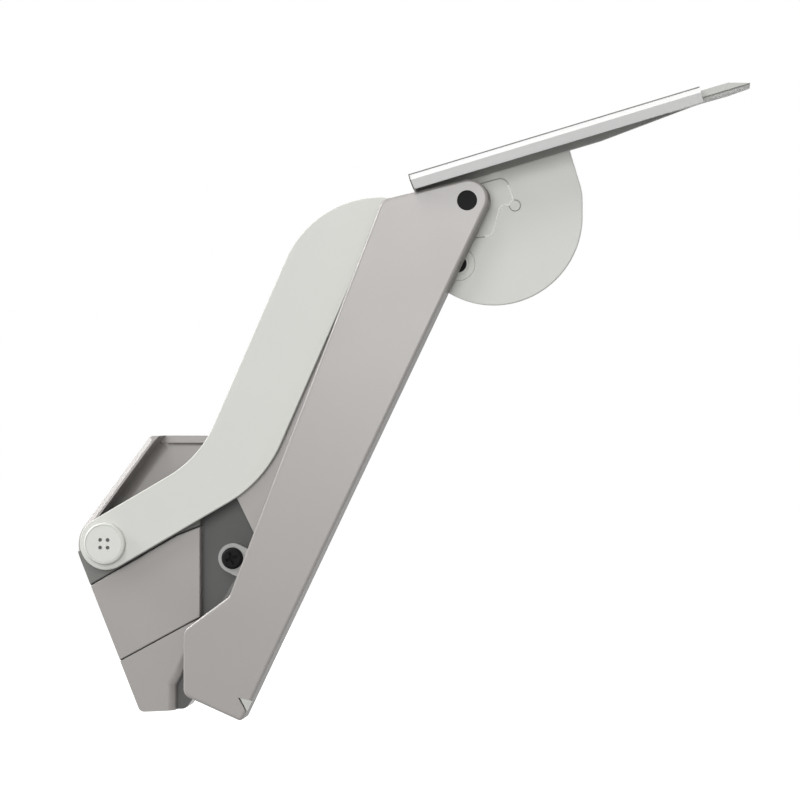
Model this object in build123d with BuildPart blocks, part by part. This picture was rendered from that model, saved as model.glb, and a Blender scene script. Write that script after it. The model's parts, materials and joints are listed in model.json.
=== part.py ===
"""Lift-up flap fitting: housing with spring pack, two swing arms and the flap bracket.

X runs to the cabinet front, Z up, and the cabinet side panel is the plane Y = 0.
Depths are measured from that panel towards the room, which is -Y. Sizes are millimetres.
"""
from build123d import *
from math import atan2, cos, degrees, hypot, pi, radians, sin
import os

# Pivots, as X and Z
control_pivot = (-31.0, 14.0)
main_pivot = (26.0, -29.0)
flap_pivot = (141.5, 171.0)
link_pivot = (167.0, 144.0)

# Stack of layers from the cabinet panel outwards
tray_floor = 2.0
mechanism_depth = 11.0
mechanism_plate_thick = 2.0
housing_depth = 18.5
layer_gap = 0.5
rear_lever_thick = 1.6
rear_cover_thick = 1.6
control_arm_thick = 3.0
bracket_thick = 2.4
sector_thick = 2.0
arm_cover_depth = 13.0
arm_cover_skin = 2.0
front_lever_thick = 3.0

covers_start = mechanism_depth + mechanism_plate_thick
cover_thick = housing_depth - covers_start
rear_lever_start = housing_depth + layer_gap
rear_cover_start = rear_lever_start + rear_lever_thick
control_arm_start = rear_cover_start + rear_cover_thick + layer_gap
control_arm_end = control_arm_start + control_arm_thick
bracket_start = control_arm_end + layer_gap
sector_start = bracket_start + bracket_thick
sector_end = sector_start + sector_thick
arm_cover_start = sector_end + layer_gap
arm_cover_end = arm_cover_start + arm_cover_depth
front_lever_end = arm_cover_end - arm_cover_skin
front_lever_start = front_lever_end - front_lever_thick

# Clearances
running_fit = 0.05
loose_fit = 0.4
parting_gap = 0.25
face_gap = 0.3

# Housing
tray_wall = 3.4
tray_lip = 1.6
rim_bevel = 2.4
cover_skin = 1.6
cover_edge = 0.4
lower_cover_round = 4.0
housing_right = 44.0
housing_top = 64.3
outline_corner = 3.0
left_corner = (-49.0, 15.0)
left_corner_round = 16.0
parting_angle = 28.5
parting_upper_angle = 30.0
parting_end_angle = 21.0
parting_bend = 47.0
parting_gap_line = 0.5
fixing_spacing = 32.0
fixing_centre = (22.0, 49.0)
fixing_radius = 2.6

# Control arm
control_half_width = 12.45
control_low_angle = 30.0
control_high_angle = 66.0
control_high_width = 32.5
shoulder_centre = (98.5, 127.0)
shoulder_radius = 47.6
shoulder_end_angle = 55.0
inner_bend = 52.0
outer_bend = 60.0
link_lobe = 11.0
link_pin_radius = 4.0

# Control pivot rivet
rivet_shank = 4.0
rivet_head = 9.75
rivet_head_thick = 2.4
rivet_groove = 8.9
rivet_boss = 6.5

# Main arm
axle_radius = 5.0
sleeve_radius = 8.0
lever_hub = 10.0
axle_tip_radius = 4.0
cap_radius = 4.55
arm_edge_round = 1.4
arm_waist = (32.15, -8.45)
arm_waist_round = 4.0
arm_tail_top = (10.7, -24.3)
arm_tail_top_round = 6.0
arm_tail_bottom = (10.7, -54.0)
arm_tail_bottom_round = 4.5
arm_heel = (37.9, -65.6)
arm_heel_round = 2.0
arm_tip = (157.9, 184.4)
arm_tip_round = 8.8
arm_shoulder = (102.7, 171.8)
arm_shoulder_round = 6.0
clip_point = (37.4, -54.7)
clip_top = (43.0, -55.9)
clip_bottom = (40.7, -60.7)
clip_gap = 0.7

# Lug beside the arm and its screw
lug_centre = (31.0, 8.1)
lug_radius = 6.8
lug_tail = (52.0, -2.0)
lug_thick = 2.4
screw_shank = 2.5
screw_head = 5.0
screw_head_thick = 2.2

# Spring pack, along a line from the main pivot
pack_angle = 150.0
roller_radius = 4.0
roller_thick = 4.0
cam_thick = 3.6
pitch_start = 14.0
cam_rise_per_degree = 0.15
cam_gap = 0.3
arm_swing = 36.0
carriage_front = 10.6
carriage_block = 19.5
carriage_end = 30.0
carriage_half_width = 12.0
cheek_half_width = 6.0
cheek_thick = 1.8
spring_length = 22.0
spring_offset = 7.0
spring_mean_radius = 3.4
spring_wire = 0.7
spring_turns = 5
spring_turn_steps = 16
spring_wire_sides = 6
seat_thick = 5.0
rod_radius = 1.6
rod_reach = 21.0

# Flap bar
bar_corner = (116.1, 182.0)
bar_tilt = 15.9
bar_length = 134.0
bar_height = 6.5
bar_face = 2.7
bar_slant = 4.0
bar_back_lip = 3.0
bar_wall = 1.6
bar_width = 36.0
bar_front = 54.0
bar_end_round = 1.5
flap_hole_spacing = 64.0
flap_hole_radius = 2.2

# Tongue at the far end of the bar, as run past the bar's end and rise above its top face
tongue_width = 12.0
tongue_plug = 15.0
tongue_plug_drop = 4.4
tongue_start_drop = 0.2
tongue_shoulder = (13.0, -0.3)
tongue_tip = (22.2, -3.2)
tongue_nose = (21.9, -4.1)
tongue_belly = (11.4, -4.6)
tongue_step = 2.0

# Sector cover
sector_centre = (152.3, 164.5)
sector_radius = 40.2
sector_edge_angle = 15.0
sector_edge_reach = 41.6
sector_edge_round = 25.0
sector_edge = 0.4
sector_top_drop = 7.3
sector_corner_along = 71.3
sector_ledge_along = 8.8
sector_ledge_drop = 10.7
insert_recess = 0.5
insert_top_left = (131.0, 175.5)
insert_top_right = (157.6, 182.6)
insert_top_round = 4.0
insert_waist = (155.2, 170.2)
insert_waist_round = 3.0
insert_low_right = (151.4, 156.0)
insert_low_round = 3.0
insert_low_left = (131.0, 154.2)
bush_centre = (136.0, 143.3)
bush_radius = 7.5
bush_bore = 3.85
stud_centre = (161.9, 169.6)
stud_radius = 2.3

os.makedirs("parts", exist_ok=True)


def depth(height):
    """Plane parallel to the cabinet panel, facing the room; its local axes are X and Z."""
    return Plane.XZ.offset(height)


def along(start, angle, distance):
    """Point at a distance from start, in the direction of an angle in degrees."""
    x = start[0] + distance * cos(radians(angle))
    return (x, start[1] + distance * sin(radians(angle)))


def beside(start, angle, left):
    """Point to the left of a direction."""
    return along(start, angle + 90, left)


def crossing(first, first_angle, second, second_angle):
    """Point where two lines meet, each given by a point and an angle."""
    ax, az = cos(radians(first_angle)), sin(radians(first_angle))
    bx, bz = cos(radians(second_angle)), sin(radians(second_angle))
    dx, dz = second[0] - first[0], second[1] - first[1]
    run = (dx * bz - dz * bx) / (ax * bz - az * bx)
    return (first[0] + run * ax, first[1] + run * az)


def near(shapes, point):
    """The vertex closest to a point given as X and Z on the sketch."""
    return shapes.sort_by_distance(Vector(point[0], point[1], 0))[0]


def strap_points(start, start_radius, end, end_radius):
    """Four corners of the straight-sided web between two round ends."""
    angle = degrees(atan2(end[1] - start[1], end[0] - start[0]))
    span = hypot(end[0] - start[0], end[1] - start[1])
    lean = degrees(atan2(start_radius - end_radius, span))
    left, right = angle + 90 - lean, angle - 90 + lean
    return [
        along(start, left, start_radius),
        along(start, right, start_radius),
        along(end, right, end_radius),
        along(end, left, end_radius),
    ]


def save(built, name):
    """Label a finished sub-part and write it."""
    built.part.label = name
    export_step(built.part, f"parts/{name}.step")


# Outline of the housing, with the covers parted by two slanted lines
parting_low = (-39.5, -5.8)
parting_lower = (-25.0, -41.2)
cover_right = 12.7
outline = [
    (-11.9, housing_top),
    (housing_right, housing_top),
    (housing_right, -34.0),
    (36.0, -48.0),
    (9.0, -58.0),
    (4.5, -64.5),
    (-16.2, -65.75),
    left_corner,
]
strip_reach = 16.9
wide = 150.0
below_strip = [
    beside(along(parting_low, parting_angle, -wide), parting_angle, strip_reach),
    beside(along(parting_low, parting_angle, wide), parting_angle, strip_reach),
    (wide, -wide),
    (-wide, -wide),
]

with BuildSketch(Plane.XY) as housing_outline:
    Polygon(*outline, align=None)
    other_corners = housing_outline.vertices().sort_by_distance(Vector(*left_corner, 0))[1:]
    fillet(other_corners, outline_corner)
    fillet(near(housing_outline.vertices(), left_corner), left_corner_round)

with BuildSketch(Plane.XY) as housing_inside:
    offset(housing_outline.sketch, -tray_wall)

# The upper wall of the tray is only a low lip, between the slanted left wall and the right wall
left_wall_low, left_wall_high = outline[-1], outline[0]
left_wall_angle = degrees(atan2(left_wall_high[1] - left_wall_low[1], left_wall_high[0] - left_wall_low[0]))
left_wall_inside = beside(left_wall_high, left_wall_angle, -tray_wall)
left_wall_middle = (
    (left_wall_low[0] + left_wall_high[0]) / 2,
    -housing_depth,
    (left_wall_low[1] + left_wall_high[1]) / 2,
)
upper_gap = [
    crossing(left_wall_inside, left_wall_angle, (0, housing_top - 2 * tray_wall), 0),
    crossing(left_wall_inside, left_wall_angle, (0, housing_top + tray_wall), 0),
    (housing_right - tray_wall, housing_top + tray_wall),
    (housing_right - tray_wall, housing_top - 2 * tray_wall),
]

with BuildSketch(Plane.XY) as covers_zone:
    add(housing_outline.sketch)
    Polygon(*below_strip, align=None, mode=Mode.INTERSECT)


# Tray: floor, outer wall with a bevelled left rim, pivot boss and two fixing holes
with BuildPart() as housing_tray:
    with BuildSketch(depth(0)) as tray_base:
        add(housing_outline.sketch)
    extrude(amount=tray_floor)
    with BuildSketch(depth(tray_floor)) as tray_ring:
        add(housing_outline.sketch)
        add(housing_inside.sketch, mode=Mode.SUBTRACT)
    extrude(amount=tray_lip)
    with BuildSketch(depth(tray_floor)) as tray_walls:
        add(tray_ring.sketch)
        Polygon(*upper_gap, align=None, mode=Mode.SUBTRACT)
    extrude(amount=housing_depth - tray_floor)
    with BuildSketch(depth(mechanism_depth)) as tray_step:
        add(covers_zone.sketch)
    extrude(amount=housing_depth, mode=Mode.SUBTRACT)
    chamfer(housing_tray.edges().sort_by_distance(Vector(*left_wall_middle))[0], rim_bevel)
    with BuildSketch(depth(tray_floor)) as pivot_boss:
        with Locations(control_pivot):
            Circle(rivet_boss)
    extrude(amount=control_arm_start - face_gap - tray_floor)
    with BuildSketch(depth(tray_floor)) as pivot_bore:
        with Locations(control_pivot):
            Circle(rivet_shank)
    extrude(amount=control_arm_end, mode=Mode.SUBTRACT)
    with BuildSketch(depth(0)) as axle_bore:
        with Locations(main_pivot):
            Circle(axle_radius)
    extrude(amount=tray_floor, mode=Mode.SUBTRACT)
    with BuildSketch(depth(0)) as fixing_holes:
        with Locations(fixing_centre):
            with GridLocations(fixing_spacing, 1, 2, 1):
                Circle(fixing_radius)
    extrude(amount=tray_floor, mode=Mode.SUBTRACT)
save(housing_tray, "housing_tray")

# Dark steel plate over the spring pack
with BuildPart() as mechanism_plate:
    with BuildSketch(depth(mechanism_depth)) as plate_face:
        add(covers_zone.sketch)
        with Locations(control_pivot):
            Circle(rivet_boss + loose_fit, mode=Mode.SUBTRACT)
        with Locations(main_pivot):
            Circle(sleeve_radius + loose_fit, mode=Mode.SUBTRACT)
    extrude(amount=mechanism_plate_thick)
save(mechanism_plate, "mechanism_plate")

# The three covers share one outline, cut by the parting lines and stepped at the right
cover_profile_right = [
    (cover_right, wide),
    (cover_right, -18.2),
    (11.5, -30.0),
    (3.5, -48.0),
    (0.6, -53.0),
    (-1.3, -wide),
]
with BuildSketch(Plane.XY) as cover_face:
    add(covers_zone.sketch)
    Polygon(*cover_profile_right, (-wide, -wide), (-wide, wide), align=None, mode=Mode.INTERSECT)


def straight_line(start, shift):
    """A parting line moved sideways, straight all the way."""
    point = beside(start, parting_angle, shift)
    return [along(point, parting_angle, -wide), along(point, parting_angle, wide)]


def bent_line(start, shift):
    """A parting line moved sideways, which bends down a little near its right end."""
    point = beside(start, parting_upper_angle, shift)
    bend = along(point, parting_upper_angle, parting_bend)
    return [along(point, parting_upper_angle, -wide), bend, along(bend, parting_end_angle, wide)]


half_gap = parting_gap_line / 2
cover_bands = {
    "pivot_cover": bent_line(parting_low, half_gap) + straight_line(parting_low, strip_reach)[::-1],
    "centre_cover": straight_line(parting_lower, half_gap) + bent_line(parting_low, -half_gap)[::-1],
    "lower_cover": straight_line(parting_lower, -wide) + straight_line(parting_lower, -half_gap)[::-1],
}
for cover_name, band_corners in cover_bands.items():
    with BuildSketch(Plane.XY) as band:
        add(cover_face.sketch)
        Polygon(*band_corners, align=None, mode=Mode.INTERSECT)
        with Locations(control_pivot):
            Circle(rivet_boss + loose_fit, mode=Mode.SUBTRACT)
    with BuildSketch(Plane.XY) as band_inside:
        offset(band.sketch, -cover_skin)
    with BuildPart() as housing_cover:
        with BuildSketch(depth(covers_start)) as cover_block:
            add(band.sketch)
        extrude(amount=cover_thick)
        with BuildSketch(depth(covers_start)) as cover_hollow:
            add(band_inside.sketch)
        extrude(amount=cover_thick - cover_skin, mode=Mode.SUBTRACT)
        front_edges = housing_cover.faces().sort_by(Axis.Y)[0].outer_wire().edges()
        if cover_name == "lower_cover":
            right_edges = front_edges.filter_by(lambda edge: edge.center().X > 0)
            fillet(right_edges, min(lower_cover_round, cover_thick - cover_edge))
        else:
            chamfer(front_edges, cover_edge)
    save(housing_cover, cover_name)

# Rivet that carries the control arm, with a rim groove and four stake marks
stake_offset = 1.8
stake_radius = 0.9
stake_depth = 1.2
groove_width = 0.45
groove_depth = 0.35
rivet_head_start = control_arm_end + layer_gap / 2
rivet_head_end = rivet_head_start + rivet_head_thick
with BuildPart() as control_rivet:
    with BuildSketch(depth(tray_floor)) as rivet_shank_face:
        with Locations(control_pivot):
            Circle(rivet_shank)
    extrude(amount=rivet_head_start - tray_floor)
    with BuildSketch(depth(rivet_head_start)) as rivet_head_face:
        with Locations(control_pivot):
            Circle(rivet_head)
    extrude(amount=rivet_head_thick)
    chamfer(control_rivet.edges().filter_by(GeomType.CIRCLE).sort_by(Axis.Y)[0], rivet_head_thick / 4)
    with BuildSketch(depth(rivet_head_end)) as rim_groove:
        with Locations(control_pivot):
            Circle(rivet_groove)
            Circle(rivet_groove - groove_width, mode=Mode.SUBTRACT)
    extrude(amount=-groove_depth, mode=Mode.SUBTRACT)
    with BuildSketch(depth(rivet_head_end)) as stake_marks:
        with Locations(control_pivot):
            with GridLocations(stake_offset * 2, stake_offset * 2, 2, 2):
                Circle(stake_radius)
    extrude(amount=-stake_depth, mode=Mode.SUBTRACT)
save(control_rivet, "control_rivet")

# Axle of the main arm, standing in the tray floor
with BuildPart() as main_axle:
    with BuildSketch(depth(0)) as axle_face:
        with Locations(main_pivot):
            Circle(axle_radius)
    extrude(amount=front_lever_end - loose_fit)
save(main_axle, "main_axle")

# Cam whose pitch curve rises by the same amount for every degree of swing
cam_margin = 10.0
cam_steps = 7
cam_web = 1.5
cam_base = sleeve_radius + cam_web
pack_middle = (tray_floor + mechanism_depth) / 2


def cam_point(angle):
    """Cam edge: the rising pitch curve moved in along its normal by the roller and a gap."""
    pitch = pitch_start + cam_rise_per_degree * (angle - pack_angle)
    rise = cam_rise_per_degree * degrees(1)
    length = hypot(pitch, rise)
    inset = roller_radius + cam_gap
    out = pitch - inset * pitch / length
    side = inset * rise / length
    return along(along(main_pivot, angle, out), angle + 90, side)


cam_first = pack_angle - cam_margin
cam_last = pack_angle + arm_swing + cam_margin
cam_edge = [
    cam_point(cam_first + (cam_last - cam_first) * step / (cam_steps - 1))
    for step in range(cam_steps)
]
with BuildPart() as lift_cam:
    with BuildSketch(depth(pack_middle - cam_thick / 2)) as cam_face:
        with BuildLine() as cam_line:
            Spline(*cam_edge)
            Polyline(cam_edge[-1], main_pivot, cam_edge[0])
        make_face()
        with Locations(main_pivot):
            Circle(cam_base)
    extrude(amount=cam_thick)
    with BuildSketch(depth(tray_floor + loose_fit)) as sleeve_face:
        with Locations(main_pivot):
            Circle(sleeve_radius)
    extrude(amount=front_lever_start - tray_floor - loose_fit)
    with BuildSketch(depth(0)) as sleeve_bore:
        with Locations(main_pivot):
            Circle(axle_radius + running_fit)
    extrude(amount=front_lever_end, mode=Mode.SUBTRACT)
save(lift_cam, "lift_cam")


def pack_plane(height):
    """Plane at a depth whose X runs from the main pivot along the spring pack."""
    direction = (cos(radians(pack_angle)), 0, sin(radians(pack_angle)))
    return Plane((main_pivot[0], -height, main_pivot[1]), direction, (0, -1, 0))


pack_low = tray_floor + loose_fit
pack_high = mechanism_depth - loose_fit


def pack_point(run, side):
    """Point in space at the middle depth of the spring pack."""
    return pack_plane(pack_middle).from_local_coords(Vector(run, side, 0))


pack_direction = pack_point(1, 0) - pack_point(0, 0)
pack_side = pack_point(0, 1) - pack_point(0, 0)


def across_pack(run):
    """Plane square to the pack line at a distance along it; local X runs across the pack."""
    return Plane(pack_point(run, 0), pack_side, pack_direction)


seat_start = carriage_end + spring_length
seat_end = seat_start + seat_thick


def bar_ends(start, end, half_width):
    """Corners of a straight bar on the pack line."""
    return [(start, -half_width), (end, -half_width), (end, half_width), (start, half_width)]


# Carriage that the cam pushes: a block on two rods, with cheeks for the roller
pin_radius = 1.5
carriage_corner = 1.0
with BuildPart() as spring_carriage:
    with BuildSketch(pack_plane(pack_low)) as carriage_face:
        Polygon(*bar_ends(carriage_block, carriage_end, carriage_half_width), align=None)
        fillet(carriage_face.vertices(), carriage_corner)
        Polygon(*bar_ends(carriage_front, carriage_end, cheek_half_width), align=None)
    extrude(amount=pack_high - pack_low)
    with BuildSketch(pack_plane(pack_low + cheek_thick)) as roller_slot:
        Polygon(*bar_ends(0, carriage_block, carriage_half_width), align=None)
    extrude(amount=pack_high - pack_low - 2 * cheek_thick, mode=Mode.SUBTRACT)
    with BuildSketch(pack_plane(pack_low)) as pin_bore:
        with Locations((pitch_start, 0)):
            Circle(pin_radius)
    extrude(amount=pack_high, mode=Mode.SUBTRACT)
    with BuildSketch(across_pack(0)) as rod_bores:
        with GridLocations(2 * spring_offset, 1, 2, 1):
            Circle(rod_radius + running_fit)
    extrude(amount=seat_end, mode=Mode.SUBTRACT)
save(spring_carriage, "spring_carriage")

with BuildPart() as roller_pin:
    with BuildSketch(pack_plane(pack_low)) as pin_face:
        with Locations((pitch_start, 0)):
            Circle(pin_radius)
    extrude(amount=pack_high - pack_low)
save(roller_pin, "roller_pin")

with BuildPart() as cam_roller:
    with BuildSketch(pack_plane(pack_middle - roller_thick / 2)) as roller_face:
        with Locations((pitch_start, 0)):
            Circle(roller_radius)
            Circle(pin_radius + running_fit, mode=Mode.SUBTRACT)
    extrude(amount=roller_thick)
save(cam_roller, "cam_roller")

# Seat, guide rods and the two lift springs
seat_overhang = 1.0
seat_half_width = carriage_half_width + seat_overhang
with BuildPart() as spring_seat:
    with BuildSketch(pack_plane(tray_floor)) as seat_face:
        Polygon(*bar_ends(seat_start, seat_end, seat_half_width), align=None)
    extrude(amount=mechanism_depth - tray_floor)
    with BuildSketch(across_pack(seat_start)) as seat_bores:
        with GridLocations(2 * spring_offset, 1, 2, 1):
            Circle(rod_radius)
    extrude(amount=seat_thick, mode=Mode.SUBTRACT)
save(spring_seat, "spring_seat")

rod_names = {"guide_rod_upper": -spring_offset, "guide_rod_lower": spring_offset}
for rod_name, side in rod_names.items():
    with BuildPart() as guide_rod:
        with BuildSketch(across_pack(rod_reach)) as rod_face:
            with Locations((side, 0)):
                Circle(rod_radius)
        extrude(amount=seat_end - rod_reach)
    save(guide_rod, rod_name)

spring_names = {"lift_spring_upper": -spring_offset, "lift_spring_lower": spring_offset}
spring_start = carriage_end + spring_wire + running_fit
spring_body = spring_length - 2 * (spring_wire + running_fit)
spring_steps = spring_turns * spring_turn_steps


def coil_point(side, step):
    """Point of a spring's helix, a step of a turn at a time round its rod."""
    angle = 2 * pi * step / spring_turn_steps
    run = spring_start + spring_body * step / spring_steps
    beyond_rod = spring_mean_radius * sin(angle)
    middle = pack_point(run, side + spring_mean_radius * cos(angle))
    return middle + Vector(0, -beyond_rod, 0)


for spring_name, side in spring_names.items():
    with BuildPart() as lift_spring:
        with BuildLine() as coil:
            Polyline(*[coil_point(side, step) for step in range(spring_steps + 1)])
        with BuildSketch(Plane(coil.line @ 0, z_dir=coil.line % 0)) as wire_face:
            RegularPolygon(spring_wire, spring_wire_sides)
        sweep(path=coil.line, transition=Transition.RIGHT)
    save(lift_spring, spring_name)

# Rear lever and its cover, behind the control arm
rear_tip = 9.0
with BuildPart() as rear_lever:
    with BuildSketch(depth(rear_lever_start)) as rear_lever_face:
        Polygon(*strap_points(main_pivot, lever_hub, flap_pivot, rear_tip), align=None)
        with Locations(main_pivot):
            Circle(lever_hub)
            Circle(sleeve_radius, mode=Mode.SUBTRACT)
        with Locations(flap_pivot):
            Circle(rear_tip)
            Circle(axle_tip_radius, mode=Mode.SUBTRACT)
    extrude(amount=rear_lever_thick)
save(rear_lever, "rear_lever")

rear_cover_outline = [
    (24.7, 48.5),
    (44.7, 8.5),
    (64.0, 4.0),
    (146.0, 168.0),
    (128.0, 176.0),
    (98.0, 162.0),
    (46.0, 70.0),
]
with BuildPart() as rear_arm_cover:
    with BuildSketch(depth(rear_cover_start)) as rear_cover_face:
        Polygon(*rear_cover_outline, align=None)
        fillet(rear_cover_face.vertices(), outline_corner)
        with Locations(flap_pivot):
            Circle(axle_tip_radius, mode=Mode.SUBTRACT)
    extrude(amount=rear_cover_thick)
save(rear_arm_cover, "rear_arm_cover")

# Front cover of the main arm: a deep shell with a broad tail and rounded corners
arm_corners = {
    arm_waist: arm_waist_round,
    arm_tail_top: arm_tail_top_round,
    arm_tail_bottom: arm_tail_bottom_round,
    arm_heel: arm_heel_round,
    arm_tip: arm_tip_round,
    arm_shoulder: arm_shoulder_round,
}
with BuildSketch(Plane.XY) as arm_outline:
    Polygon(*arm_corners, align=None)
    for corner, corner_radius in arm_corners.items():
        fillet(near(arm_outline.vertices(), corner), corner_radius)

with BuildSketch(Plane.XY) as arm_inside:
    offset(arm_outline.sketch, -arm_cover_skin)

clip_angle = degrees(atan2(clip_bottom[1] - clip_point[1], clip_bottom[0] - clip_point[0]))
clip_notch_outline = [
    clip_top,
    beside(along(clip_point, clip_angle, -clip_gap), clip_angle, -clip_gap),
    beside(along(clip_bottom, clip_angle, clip_gap), clip_angle, -clip_gap),
]
clip_depth = arm_cover_skin
with BuildPart() as arm_cover:
    with BuildSketch(depth(arm_cover_start)) as arm_block:
        add(arm_outline.sketch)
    extrude(amount=arm_cover_depth)
    fillet(arm_cover.faces().sort_by(Axis.Y)[0].edges(), arm_edge_round)
    with BuildSketch(depth(arm_cover_start)) as arm_hollow:
        add(arm_inside.sketch)
    extrude(amount=arm_cover_depth - arm_cover_skin, mode=Mode.SUBTRACT)
    with BuildSketch(depth(front_lever_end)) as cap_hole:
        with Locations(flap_pivot):
            Circle(cap_radius)
    extrude(amount=arm_cover_skin, mode=Mode.SUBTRACT)
    with BuildSketch(depth(arm_cover_end - clip_depth)) as clip_notch:
        Polygon(*clip_notch_outline, align=None)
    extrude(amount=clip_depth, mode=Mode.SUBTRACT)
save(arm_cover, "arm_cover")

with BuildPart() as cover_clip:
    with BuildSketch(depth(arm_cover_end - clip_depth)) as clip_face:
        Polygon(clip_point, clip_top, clip_bottom, align=None)
    extrude(amount=clip_depth)
save(cover_clip, "cover_clip")

with BuildPart() as front_lever:
    with BuildSketch(depth(front_lever_start)) as front_lever_face:
        offset(arm_outline.sketch, -arm_cover_skin - loose_fit)
        with Locations(main_pivot):
            Circle(axle_radius + running_fit, mode=Mode.SUBTRACT)
        with Locations(flap_pivot):
            Circle(axle_tip_radius, mode=Mode.SUBTRACT)
    extrude(amount=front_lever_thick)
save(front_lever, "front_lever")

with BuildPart() as flap_axle:
    with BuildSketch(depth(rear_lever_start)) as flap_axle_face:
        with Locations(flap_pivot):
            Circle(axle_tip_radius)
    extrude(amount=front_lever_end - rear_lever_start)
save(flap_axle, "flap_axle")

cap_proud = 0.3
with BuildPart() as axle_cap:
    with BuildSketch(depth(front_lever_end)) as cap_face:
        with Locations(flap_pivot):
            Circle(cap_radius)
    extrude(amount=arm_cover_skin + cap_proud)
    chamfer(axle_cap.edges().filter_by(GeomType.CIRCLE).sort_by(Axis.Y)[0], cap_proud)
save(axle_cap, "axle_cap")

# Lug strap with its cross-head screw, on a stand-off from the front lever
lug_start = arm_cover_start - loose_fit - lug_thick
lug_end = lug_start + lug_thick
standoff_radius = 4.0
with BuildPart() as lug_strap:
    with BuildSketch(depth(lug_start)) as lug_face:
        Polygon(*strap_points(lug_centre, lug_radius, lug_tail, lug_radius), align=None)
        with Locations(lug_centre, lug_tail):
            Circle(lug_radius)
        with Locations(lug_centre):
            Circle(screw_shank, mode=Mode.SUBTRACT)
    extrude(amount=lug_thick)
save(lug_strap, "lug_strap")

with BuildPart() as lug_standoff:
    with BuildSketch(depth(lug_end)) as standoff_face:
        with Locations(lug_tail):
            Circle(standoff_radius)
    extrude(amount=front_lever_start - lug_end)
save(lug_standoff, "lug_standoff")

screw_tail = 1.0
cross_turn = 20.0
cross_width = 1.3
cross_length = 5.6
cross_depth = 1.4
with BuildPart() as lug_screw:
    with BuildSketch(depth(lug_start - screw_tail)) as screw_shank_face:
        with Locations(lug_centre):
            Circle(screw_shank)
    extrude(amount=lug_thick + screw_tail)
    with BuildSketch(depth(lug_end)) as screw_head_face:
        with Locations(lug_centre):
            Circle(screw_head)
    extrude(amount=screw_head_thick)
    chamfer(lug_screw.edges().filter_by(GeomType.CIRCLE).sort_by(Axis.Y)[0], screw_head_thick / 2)
    with BuildSketch(depth(lug_end + screw_head_thick)) as cross_slots:
        with Locations(lug_centre):
            Rectangle(cross_length, cross_width, rotation=cross_turn)
            Rectangle(cross_width, cross_length, rotation=cross_turn)
    extrude(amount=-cross_depth, mode=Mode.SUBTRACT)
save(lug_screw, "lug_screw")

# Control arm: a flat plate bent up twice in its own plane, ending at the hidden link pivot
bush_wall = 2.0
control_arm_edge = 0.35
low_left = beside(control_pivot, control_low_angle, control_half_width)
low_right = beside(control_pivot, control_low_angle, -control_half_width)
high_left = beside(shoulder_centre, control_high_angle, shoulder_radius)
high_right = beside(high_left, control_high_angle, -control_high_width)
bend_left = crossing(low_left, control_low_angle, high_left, control_high_angle)
bend_right = crossing(low_right, control_low_angle, high_right, control_high_angle)
shoulder_inner = shoulder_radius - control_high_width
shoulder_start_angle = control_high_angle + 90
neck_start = along(shoulder_centre, shoulder_end_angle, (shoulder_radius + shoulder_inner) / 2)
with BuildPart() as control_arm:
    with BuildSketch(depth(control_arm_start)) as control_face:
        Polygon(low_left, bend_left, high_left, high_right, bend_right, low_right, align=None)
        fillet(near(control_face.vertices(), bend_left), inner_bend)
        fillet(near(control_face.vertices(), bend_right), outer_bend)
        with Locations(control_pivot):
            Circle(control_half_width)
        with BuildLine() as shoulder_line:
            outer = CenterArc(
                shoulder_centre,
                shoulder_radius,
                shoulder_end_angle,
                shoulder_start_angle - shoulder_end_angle,
            )
            inner = CenterArc(
                shoulder_centre,
                shoulder_inner,
                shoulder_end_angle,
                shoulder_start_angle - shoulder_end_angle,
            )
            Line(outer @ 0, inner @ 0)
            Line(outer @ 1, inner @ 1)
        make_face()
        Polygon(*strap_points(neck_start, control_high_width / 2, link_pivot, link_lobe), align=None)
        with Locations(link_pivot):
            Circle(link_lobe)
            Circle(link_pin_radius, mode=Mode.SUBTRACT)
        with Locations(control_pivot):
            Circle(rivet_shank + running_fit + bush_wall, mode=Mode.SUBTRACT)
    extrude(amount=control_arm_thick)
    chamfer(control_arm.faces().sort_by(Axis.Y)[0].outer_wire().edges(), control_arm_edge)
save(control_arm, "control_arm")

with BuildPart() as control_bush:
    with BuildSketch(depth(control_arm_start)) as bush_face:
        with Locations(control_pivot):
            Circle(rivet_shank + running_fit + bush_wall)
            Circle(rivet_shank + running_fit, mode=Mode.SUBTRACT)
    extrude(amount=control_arm_thick)
save(control_bush, "control_bush")

with BuildPart() as link_pin:
    with BuildSketch(depth(control_arm_start)) as link_pin_face:
        with Locations(link_pivot):
            Circle(link_pin_radius)
    extrude(amount=control_arm_thick)
save(link_pin, "link_pin")


def bar_point(run, rise):
    """Point given along the flap bar from its upper left corner and above its top face."""
    return beside(along(bar_corner, bar_tilt, run), bar_tilt, rise)


# Bracket plate that hangs from the flap bar and turns on the flap axle
bracket_inset = 2.0
bracket_radius = sector_radius - bracket_inset
bracket_bar_start = 0.8
bracket_tip_reach = 4.8
bracket_tip_drop = 3.5
bracket_slope_run = 48.0
bracket_bar_drop = 7.2
bracket_bar_end = bar_length + bracket_tip_reach


def under_bar(drop):
    """Corners of the field below a line along the bar, a drop under its top face."""
    return [
        bar_point(-wide, -drop),
        bar_point(wide, -drop),
        bar_point(wide, -wide),
        bar_point(-wide, -wide),
    ]


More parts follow.
